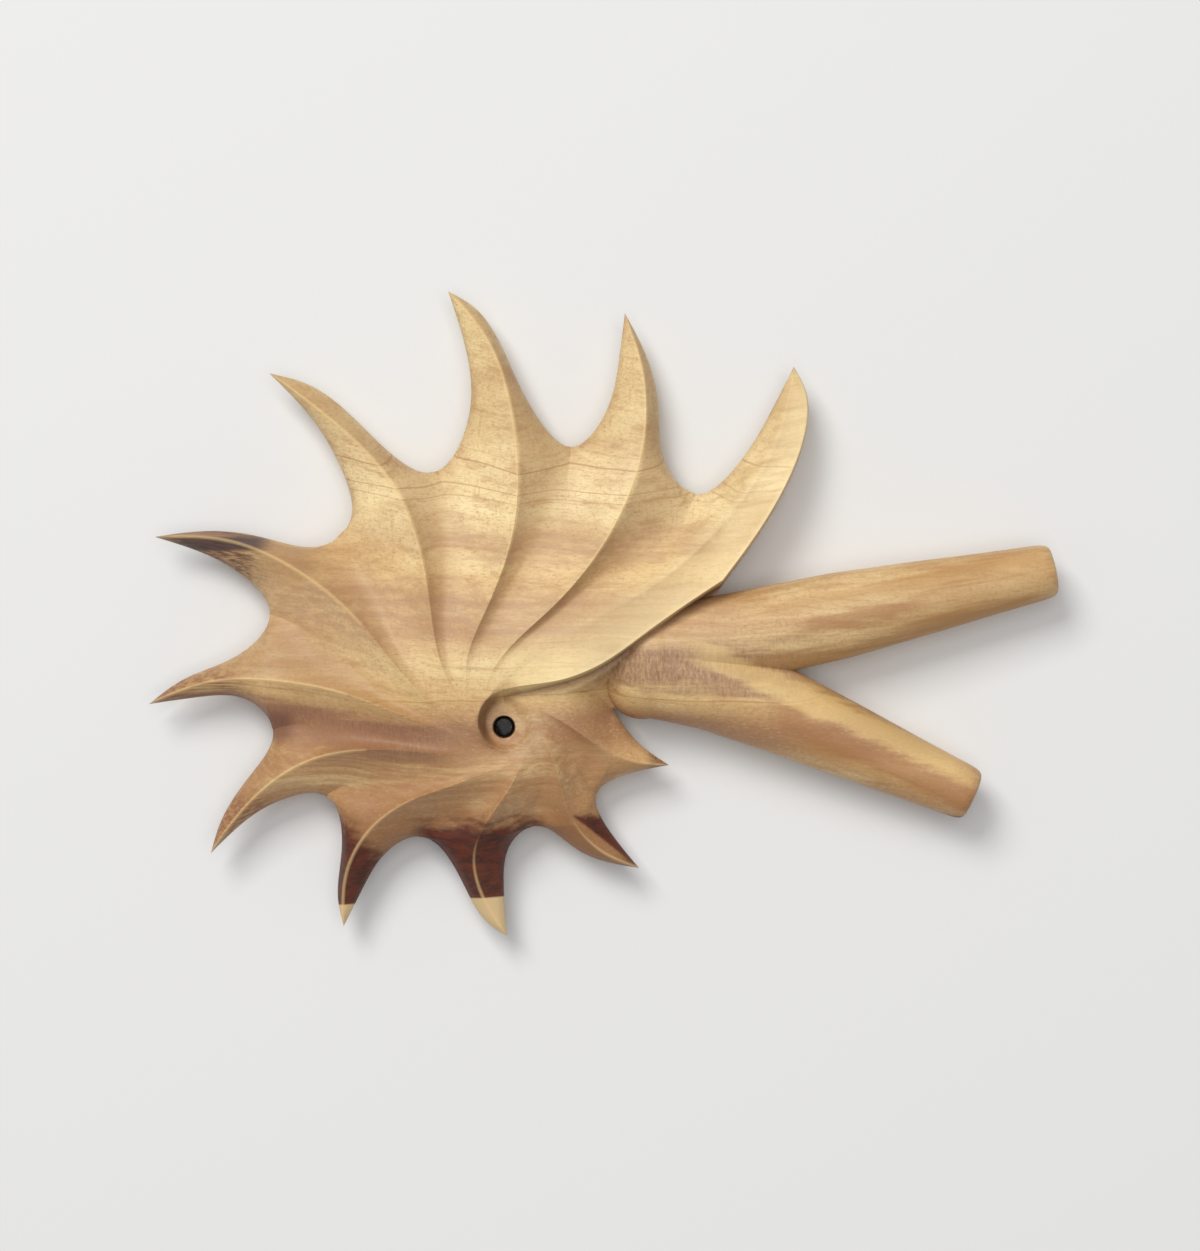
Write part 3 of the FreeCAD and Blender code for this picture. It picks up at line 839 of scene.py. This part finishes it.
# ---- materials ----
class Nodes:
    """A small helper for building a material's node tree."""

    def __init__(self, name):
        self.material = bpy.data.materials.new(name)
        self.material.use_nodes = True
        self.tree = self.material.node_tree
        self.shader = self.tree.nodes["Principled BSDF"]

    def add(self, kind, **settings):
        node = self.tree.nodes.new(kind)
        for key, value in settings.items():
            setattr(node, key, value)
        return node

    def put(self, value, socket):
        if isinstance(value, bpy.types.NodeSocket):
            self.tree.links.new(value, socket)
        else:
            socket.default_value = value

    def fill(self, node, values):
        for name, value in values.items():
            self.put(value, node.inputs[name])

    def math(self, operation, *values):
        node = self.add("ShaderNodeMath", operation=operation)
        for value, socket in zip(values, node.inputs):
            self.put(value, socket)
        return node.outputs[0]

    def plus(self, a, b):
        return self.math("ADD", a, b)

    def minus(self, a, b):
        return self.math("SUBTRACT", a, b)

    def times(self, a, b):
        return self.math("MULTIPLY", a, b)

    def most(self, *masks):
        result = masks[0]
        for mask in masks[1:]:
            result = self.math("MAXIMUM", result, mask)
        return result

    def every(self, *masks):
        result = masks[0]
        for mask in masks[1:]:
            result = self.times(result, mask)
        return result

    def step(self, value, low, high):
        """0 below low, 1 above high, smooth between. low may be the larger."""
        node = self.add("ShaderNodeMapRange", interpolation_type="SMOOTHSTEP")
        ends = (high, low, 1.0, 0.0) if low > high else (low, high, 0.0, 1.0)
        self.fill(node, dict(zip(("From Min", "From Max", "To Min", "To Max"), ends)))
        self.put(value, node.inputs["Value"])
        return node.outputs[0]

    def band(self, value, centre, half, soft):
        """1 within half of centre, falling to 0 over soft on each side."""
        away = self.math("ABSOLUTE", self.minus(value, centre))
        return self.step(away, half + soft, half)

    def place(self):
        """x, y and z in mm."""
        split = self.add("ShaderNodeSeparateXYZ")
        self.put(self.add("ShaderNodeTexCoord").outputs["Object"], split.inputs[0])
        return [self.times(output, 1000.0) for output in split.outputs]

    def noise(self, place, scales, offset=0.0, detail=3.0, rough=0.55, distort=0.0):
        """Noise over a place in mm, with a scale for each of its axes."""
        scaled = self.add("ShaderNodeCombineXYZ")
        for value, scale, socket in zip(place, scales, scaled.inputs):
            self.put(self.times(value, scale), socket)
        moved = self.add("ShaderNodeVectorMath", operation="ADD")
        self.put(scaled.outputs[0], moved.inputs[0])
        moved.inputs[1].default_value = (offset, offset * 0.7, offset * 1.3)
        node = self.add("ShaderNodeTexNoise")
        self.fill(node, {"Vector": moved.outputs[0], "Scale": 1.0, "Detail": detail,
                         "Roughness": rough, "Distortion": distort})
        return node.outputs["Fac"]

    def waver(self, value, noise, amount):
        """The value moved by a noise, by up to half of amount each way."""
        return self.plus(value, self.times(self.minus(noise, 0.5), amount))

    def carved(self, name):
        """One of the values that mark_carving stores."""
        return self.add("ShaderNodeAttribute", attribute_name=name).outputs["Fac"]

    def tint(self, base, colour, mask):
        node = self.add("ShaderNodeMix", data_type="RGBA", blend_type="MIX")
        self.fill(node, {"Factor": mask, "A": base, "B": colour})
        return node.outputs["Result"]

    def stain(self, base, tone, mask, strength):
        """The base with a screen colour over it where the mask is, at some strength."""
        return self.tint(base, srgb(*tone), self.times(mask, strength))

    def ramp(self, value, stops):
        node = self.add("ShaderNodeValToRGB")
        ramp = node.color_ramp
        while len(ramp.elements) < len(stops):
            ramp.elements.new(0.5)
        for element, (position, colour) in zip(ramp.elements, stops):
            element.position = position
            element.color = colour
        self.put(value, node.inputs["Fac"])
        return node.outputs["Color"]

    def bump(self, height, strength, distance):
        node = self.add("ShaderNodeBump")
        self.fill(node, {"Height": height, "Strength": strength, "Distance": distance})
        self.fill(self.shader, {"Normal": node.outputs[0]})


def srgb(red, green, blue):
    """A colour given as it looks on a screen, 0 to 255, turned to linear light."""
    linear = []
    for value in (red, green, blue):
        value /= 255
        linear.append(value / 12.92 if value < 0.04045 else ((value + 0.055) / 1.055) ** 2.4)
    return (*linear, 1.0)


# Screen colours, 0 to 255.
PALE = (246, 224, 168)
PINK_BROWN = (186, 146, 112)
MAUVE = (148, 106, 84)
LINE = (168, 122, 78)
HEART = (90, 32, 24)
HEART_DARK = (56, 21, 23)
TIP = (228, 200, 150)
SLATE = (74, 58, 60)

# Broad colour across the board's layers: height across the board in mm, colour.
LAYERS = [
    (-72, (214, 184, 132)), (-60, (204, 168, 116)), (-46, (188, 144, 98)), (-38, (196, 152, 106)),
    (-31, (216, 176, 124)), (-27, (180, 136, 96)), (-22, (174, 130, 96)), (-17, (222, 186, 128)),
    (-9, (238, 208, 152)), (-2, (222, 186, 136)), (4, (222, 188, 136)), (11, (232, 198, 142)),
    (16, (224, 192, 142)), (22, (246, 222, 168)), (31, (236, 208, 156)), (38, (222, 194, 142)),
    (48, (226, 196, 144)), (60, (230, 202, 148)), (72, (234, 208, 154)),
]
LAYER_LOW, LAYER_HIGH = LAYERS[0][0], LAYERS[-1][0]
SLOPE = 0.42           # how far the layers lean, per mm of height
SLOPE_FROM_Z = 15.0


def wood_position(n):
    """x, y, z in mm, and the level across the board's layers with its natural waves."""
    place = n.place()
    wave = n.noise(place, (0.018, 0.03, 0.03), detail=2.0)
    level = n.plus(place[1], n.times(n.minus(place[2], SLOPE_FROM_Z), SLOPE))
    return place, n.waver(level, wave, 7.0)


def grain_figure(n, place, level, colour):
    """Fine fibre along the board, cloudy tone, pores and the cross-grain ripple."""
    layered = (place[0], level, place[2])
    cloud = n.noise(place, (0.045, 0.13, 0.1), 3.0, detail=4.0)
    colour = n.stain(colour, (188, 142, 94), n.step(cloud, 0.48, 0.70), 0.50)
    colour = n.stain(colour, PALE, n.step(cloud, 0.48, 0.30), 0.45)
    band = n.noise(layered, (0.012, 0.42, 0.3), 15.0, detail=4.0, rough=0.6)
    colour = n.stain(colour, (184, 138, 92), n.step(band, 0.50, 0.68), 0.42)
    fibre = n.noise(layered, (0.10, 1.9, 1.2), 9.0, detail=5.0, rough=0.6)
    colour = n.stain(colour, (176, 130, 84), n.step(fibre, 0.48, 0.74), 0.36)
    ripple = n.noise(place, (1.9, 0.50, 0.4), 31.0, detail=5.0, rough=0.7, distort=0.6)
    patch = n.noise(place, (0.05, 0.10, 0.08), 53.0, detail=2.0)
    rippled = n.times(n.step(ripple, 0.50, 0.70), n.step(patch, 0.38, 0.56))
    colour = n.stain(colour, (166, 120, 80), rippled, 0.34)
    fine = n.noise(place, (0.9, 2.6, 2.0), 21.0, detail=6.0, rough=0.75)
    colour = n.stain(colour, (150, 108, 70), n.step(fine, 0.50, 0.70), 0.52)
    colour = n.stain(colour, (250, 226, 176), n.step(fine, 0.48, 0.32), 0.28)
    return colour, fibre, fine


# Growth lines: level across the board's layers, half width, softness, strength.
GROWTH_LINES = [
    (26.0, 0.02, 0.20, 0.50), (24.0, 0.02, 0.18, 0.40), (30.8, 0.03, 0.22, 0.60),
    (33.0, 0.02, 0.2, 0.22), (41.5, 0.02, 0.4, 0.15), (-16.5, 0.02, 0.2, 0.45),
    (-3.6, 0.02, 0.2, 0.20), (-35.5, 0.02, 0.3, 0.25), (52.0, 0.05, 0.5, 0.15),
]


def growth_lines(n, place, level, colour):
    """Fine dark lines where one year's wood meets the next, close together in places."""
    lined = n.waver(level, n.noise(place, (0.03, 0.05, 0.05), 5.0), 2.0)
    for centre, half, soft, strength in GROWTH_LINES:
        colour = n.stain(colour, LINE, n.band(lined, centre, half, soft), strength)
    return colour


# The pink-brown bands that cross the shell: level across the layers, half width, softness, the
# stretches of x over which they fade in, colour, strength, which texture adds to it, how much.
MINERAL_BANDS = [
    (1.0, 2.0, 6.0, [(-84.0, -62.0), (34.0, 22.0)], PINK_BROWN, 0.30, "streak", 0.40),
    (-10.0, 4.0, 5.0, [(-36.0, -58.0)], (174, 132, 98), 0.25, "streak", 0.20),
    (14.5, 0.8, 4.0, [(-46.0, -30.0), (30.0, 18.0)], PINK_BROWN, 0.15, "streak", 0.40),
    (-24.5, 1.8, 4.2, [(-24.0, -40.0)], MAUVE, 0.55, "fleck", 0.40),
    (-33.0, 3.0, 6.0, [(6.0, -6.0)], (160, 114, 78), 0.12, "streak", 0.40),
    (-10.0, 2.2, 5.0, [(-8.0, 4.0), (54.0, 30.0)], MAUVE, 0.54, "fleck", 0.34),
]


def mineral_bands(n, place, level, colour):
    """The pink-brown bands, with streaks along the layers or cross-grain flecks."""
    x, _, z = place
    ripple = n.noise(place, (2.1, 0.55, 0.5), 31.0, detail=5.0, rough=0.7, distort=0.5)
    streaks = n.noise((x, level, z), (0.03, 0.9, 0.6), 37.0, detail=4.0)
    texture = {"fleck": n.step(ripple, 0.36, 0.64), "streak": n.step(streaks, 0.38, 0.60)}
    ragged = n.waver(level, n.noise(place, (0.035, 0.45, 0.4), 13.0, detail=5.0), 11.0)
    for centre, half, soft, fades, tone, strength, kind, added in MINERAL_BANDS:
        mask = n.every(n.band(ragged, centre, half, soft), *[n.step(x, *fade) for fade in fades])
        colour = n.stain(colour, tone, mask, n.plus(strength, n.times(texture[kind], added)))
    return colour


def arm_streaks(n, place, colour):
    """Tan streaks that run along each arm: the arm's slope, its noise, where they start."""
    x, y, z = place
    fork = n.minus(y, n.minus(n.times(x, 0.01), 11.5))
    for slope, offset, start in ((0.20, 41.0, 22.0), (-0.42, 47.0, 36.0)):
        along = (x, n.minus(y, n.times(x, slope)), z)
        wide = n.noise(along, (0.012, 0.16, 0.10), offset, detail=4.0)
        thin = n.noise(along, (0.02, 0.9, 0.6), offset + 3, detail=4.0)
        here = n.step(fork, -1.0, 1.0) if slope > 0 else n.step(fork, 1.0, -1.0)
        here = n.times(here, n.step(x, start, start + 12.0))
        mask = n.plus(n.times(n.step(wide, 0.46, 0.60), 0.60),
                      n.times(n.step(thin, 0.50, 0.68), 0.34))
        if slope > 0:
            mask = n.plus(mask, n.times(n.step(x, 42.0, 80.0), 0.40))
        colour = n.stain(colour, (182, 136, 84), here, mask)
    return colour


# Broad bands along the arms: slope of the arm, level across it, half width, from x, to x, colour,
# strength.
ARM_BANDS = [
    (0.21, -12.0, 0.8, 42, 66, (166, 114, 70), 0.60),
    (0.21, -7.0, 0.4, 34, 92, (186, 140, 88), 0.45),
    (-0.44, -5.2, 1.4, 36, 84, (164, 112, 70), 0.55),
    (-0.44, 0.8, 1.8, 20, 76, (250, 218, 150), 0.42),
]


def arm_bands(n, place, colour):
    x, y, _ = place
    for slope, level, half, start, end, tone, strength in ARM_BANDS:
        ragged = n.noise(place, (0.06, 0.5, 0.4), level, detail=5.0)
        across_arm = n.waver(n.minus(y, n.times(x, slope)), ragged, 5.0)
        mask = n.every(n.band(across_arm, level, half, 2.0), n.step(x, start - 5.0, start + 3.0),
                       n.step(x, end + 4.0, end - 4.0))
        colour = n.stain(colour, tone, mask, strength)
    return colour


def carving_tone(n, colour):
    """Browner steep sides, partly the end grain where the cut crosses the layers and partly painted
    shade on the flutes' sides turned from the light; painted shade on the hook's inner wall and at
    the foot under the lip; and painted highlight over the lip's broad panel and along its rim."""
    # Painted highlight over the lip's broad top, where it faces the light.
    colour = n.stain(colour, (252, 230, 172), n.carved("panel"), 0.42)
    # Steep sides: the end grain's own browner tone and painted shade, together.
    colour = n.stain(colour, (158, 112, 72), n.carved("steep"), 0.40)
    # Painted shade on the inner wall of the hooked lip.
    colour = n.stain(colour, (116, 78, 52), n.carved("hook"), 0.62)
    # Painted highlight along the lip's rim.
    colour = n.stain(colour, (250, 226, 172), n.step(n.carved("rim"), 0.1, 0.9), 0.40)
    # Painted shade at the foot of the lip's wall.
    return n.stain(colour, (120, 80, 52), n.step(n.carved("foot"), 0.2, 1.0), 0.50)


def painted_crest_highlights(n, fine, colour):
    """A painted highlight: the pale line along each spike's crest."""
    crest = n.step(n.carved("crest"), 0.25, 0.9)
    return n.stain(colour, (240, 204, 144), crest, n.plus(0.28, n.times(fine, 0.34)))


def heartwood(n, place, fibre, colour):
    """The dark red core that the lowest spikes run into, ending at a sharp pale sapwood edge."""
    x, y, _ = place
    wave = n.noise(place, (0.10, 0.55, 0.5), 17.0, detail=5.0, rough=0.6)
    depth = n.waver(y, wave, 9.0)
    streaks = n.noise(place, (0.07, 0.75, 0.6), 23.0, detail=5.0, rough=0.6)
    dark = n.tint(srgb(*HEART), srgb(*HEART_DARK), n.step(streaks, 0.40, 0.62))
    soft = n.every(n.step(depth, -37.0, -47.0), n.step(x, -63.0, -58.0), n.step(x, 12.0, 7.0))
    colour = n.stain(colour, (128, 78, 50), soft, 0.55)
    edge = n.plus(y, n.times(n.plus(x, 37.0), -0.05))
    left = n.every(n.step(n.plus(depth, n.times(n.plus(x, 55.0), 0.9)), -40.0, -46.0),
                   n.step(x, -60.5, -58.5), n.step(x, -38.0, -44.0))
    middle = n.every(n.step(depth, -41.5, -46.5), n.step(x, -42.0, -36.0),
                     n.step(x, -11.0, -15.0))
    right = n.every(n.step(n.waver(y, wave, 3.0), -41.6, -43.2),
                    n.step(n.plus(x, n.times(n.plus(y, 44.0), 1.25)), -4.8, -3.6))
    reach = n.times(n.most(left, middle, right), n.step(edge, -60.4, -59.9))
    colour = n.tint(colour, dark, n.times(reach, n.plus(0.80, n.times(fibre, 0.2))))
    pale = n.every(n.step(edge, -59.9, -60.4), n.step(x, -60.0, -58.0))
    return n.stain(colour, TIP, pale, 0.85)


# Stained spots on the left: x, half width and softness, then the same in y, colour, strength, and
# how much the fibre's streaks add.
SPOTS = [
    ((-80.0, 7.0, 5.0), (14.6, 0.9, 1.0), SLATE, 0.85, 0.0),
    ((-66.0, 2.0, 7.0), (10.5, 1.0, 5.0), (158, 116, 82), 0.55, 0.0),
    ((-88.0, 8.0, 8.0), (-19.0, 4.0, 6.0), (132, 86, 62), 0.0, 0.75),
    ((-79.0, 6.0, 8.0), (-45.0, 4.0, 6.0), (132, 86, 62), 0.0, 0.75),
    ((-68.5, 1.5, 4.0), (-23.5, 1.5, 3.0), (110, 74, 64), 0.60, 0.0),
]


def dark_tips(n, place, fibre, colour):
    """Brown and slate staining on the left-hand tips and knots, and on the two lowest right."""
    x, y, _ = place
    streak = n.step(fibre, 0.35, 0.62)
    upper = n.every(n.step(x, -67.0, -76.0), n.step(y, 4.0, 9.0))
    colour = n.stain(colour, (112, 76, 62), upper, n.plus(0.45, n.times(streak, 0.5)))
    for across_x, across_y, tone, strength, added in SPOTS:
        mask = n.every(n.band(x, *across_x), n.band(y, *across_y))
        colour = n.stain(colour, tone, mask, n.plus(strength, n.times(streak, added)))
    low_tips = n.most(n.every(n.step(x, 2.0, 6.0), n.step(y, -48.5, -51.0)),
                      n.every(n.band(x, 13.0, 2.0, 2.5), n.band(y, -31.8, 3.0, 2.0)))
    return n.stain(colour, (98, 60, 44), low_tips, n.plus(0.35, n.times(streak, 0.4)))


def wood():
    n = Nodes("carved_wood")
    place, level = wood_position(n)
    share = n.math("DIVIDE", n.minus(level, LAYER_LOW), LAYER_HIGH - LAYER_LOW)
    stops = [((at - LAYER_LOW) / (LAYER_HIGH - LAYER_LOW), srgb(*tone)) for at, tone in LAYERS]
    colour = n.ramp(share, stops)
    colour, fibre, fine = grain_figure(n, place, level, colour)
    colour = mineral_bands(n, place, level, colour)
    colour = growth_lines(n, place, level, colour)
    colour = arm_streaks(n, place, colour)
    colour = arm_bands(n, place, colour)
    colour = carving_tone(n, colour)
    colour = heartwood(n, place, fibre, colour)
    colour = dark_tips(n, place, fibre, colour)
    colour = painted_crest_highlights(n, fine, colour)
    n.fill(n.shader, {"Base Color": colour, "Roughness": n.plus(0.40, n.times(fine, 0.16)),
                      "IOR": 1.48, "Specular IOR Level": 0.35})
    n.bump(n.plus(fibre, n.times(fine, 0.8)), 0.18, 0.08 * MM)
    return n.material


def black_stone():
    n = Nodes("black_stone")
    place = n.place()
    veil = n.noise(place, (0.9, 1.6, 1.0), 4.0, detail=5.0, distort=1.5)
    colour = n.stain(srgb(8, 8, 9), (66, 64, 62), n.step(veil, 0.56, 0.74), 0.45)
    flaw = n.noise(place, (3.0, 2.4, 2.0), 8.0)
    colour = n.stain(colour, (150, 104, 62), n.step(flaw, 0.64, 0.72), 0.5)
    n.fill(n.shader, {"Base Color": colour, "Roughness": n.plus(0.10, n.times(veil, 0.12)),
                      "IOR": 1.50, "Specular IOR Level": 0.18})
    return n.material


def cement_paint():
    n = Nodes("cement")
    grit = n.noise(n.place(), (2.5, 2.5, 2.5), 2.0, detail=4.0)
    colour = n.tint(srgb(70, 50, 38), srgb(128, 98, 70), n.step(grit, 0.4, 0.65))
    n.fill(n.shader, {"Base Color": colour, "Roughness": n.plus(0.6, n.times(grit, 0.2))})
    n.bump(grit, 0.3, 0.1 * MM)
    return n.material


def floor_paint():
    """The plain pale floor under the pipe. The backdrop's emboss is left out."""
    n = Nodes("floor")
    n.fill(n.shader, {"Base Color": srgb(232, 232, 231), "Roughness": 0.9,
                      "Specular IOR Level": 0.1})
    return n.material


def dress(piece, material, node):
    piece.data.materials.clear()
    piece.data.materials.append(material)
    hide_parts(node)
    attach(piece, "root")


# ---- stage ----
VIEW_CENTRE = (-0.7, -2.5)
VIEW_WIDTH = 252.0
CAMERA_HEIGHT = 900.0
SENSOR = 36.0


def camera():
    data = bpy.data.cameras.new("camera")
    piece = made("camera", data)
    piece.location = (VIEW_CENTRE[0] * MM, VIEW_CENTRE[1] * MM, CAMERA_HEIGHT * MM)
    focus = CAMERA_HEIGHT - RIM_Z
    data.sensor_fit = "HORIZONTAL"
    data.sensor_width = SENSOR
    data.lens = SENSOR * focus / VIEW_WIDTH
    data.clip_start = 0.05
    data.clip_end = 20.0
    bpy.context.scene.camera = piece


def floor():
    mesh = bpy.data.meshes.new("floor")
    half = 4.0
    corners = [(-half, -half, 0), (half, -half, 0), (half, half, 0), (-half, half, 0)]
    mesh.from_pydata(corners, [], [(0, 1, 2, 3)])
    piece = made("floor", mesh)
    piece.data.materials.append(floor_paint())


def area_light(name, position, size, power, colour=(1, 1, 1)):
    """A rectangular light that faces the frame's origin."""
    data = bpy.data.lights.new(name, "AREA")
    data.shape = "RECTANGLE"
    data.size, data.size_y = size
    data.energy = power
    data.color = colour
    piece = made(name, data)
    piece.location = position
    piece.rotation_euler = (-Vector(position)).to_track_quat("-Z", "Y").to_euler()


def lighting():
    area_light("key", (-0.75, 1.15, 1.75), (0.95, 0.95), 29.0, (1.0, 0.985, 0.96))
    area_light("top", (0.1, 0.05, 2.2), (1.6, 1.4), 17.0)
    world = bpy.data.worlds.new("studio")
    world.use_nodes = True
    background = world.node_tree.nodes["Background"]
    background.inputs["Color"].default_value = (0.95, 0.96, 1.0, 1.0)
    background.inputs["Strength"].default_value = 0.27
    bpy.context.scene.world = world


def main():
    camera()
    floor()
    lighting()
    dress(carved_body(), wood(), "carved_body")
    dress(stone(), black_stone(), "eye_stone")
    dress(cement(), cement_paint(), "stone_cement")
    bpy.context.scene.view_settings.view_transform = "Standard"


main()
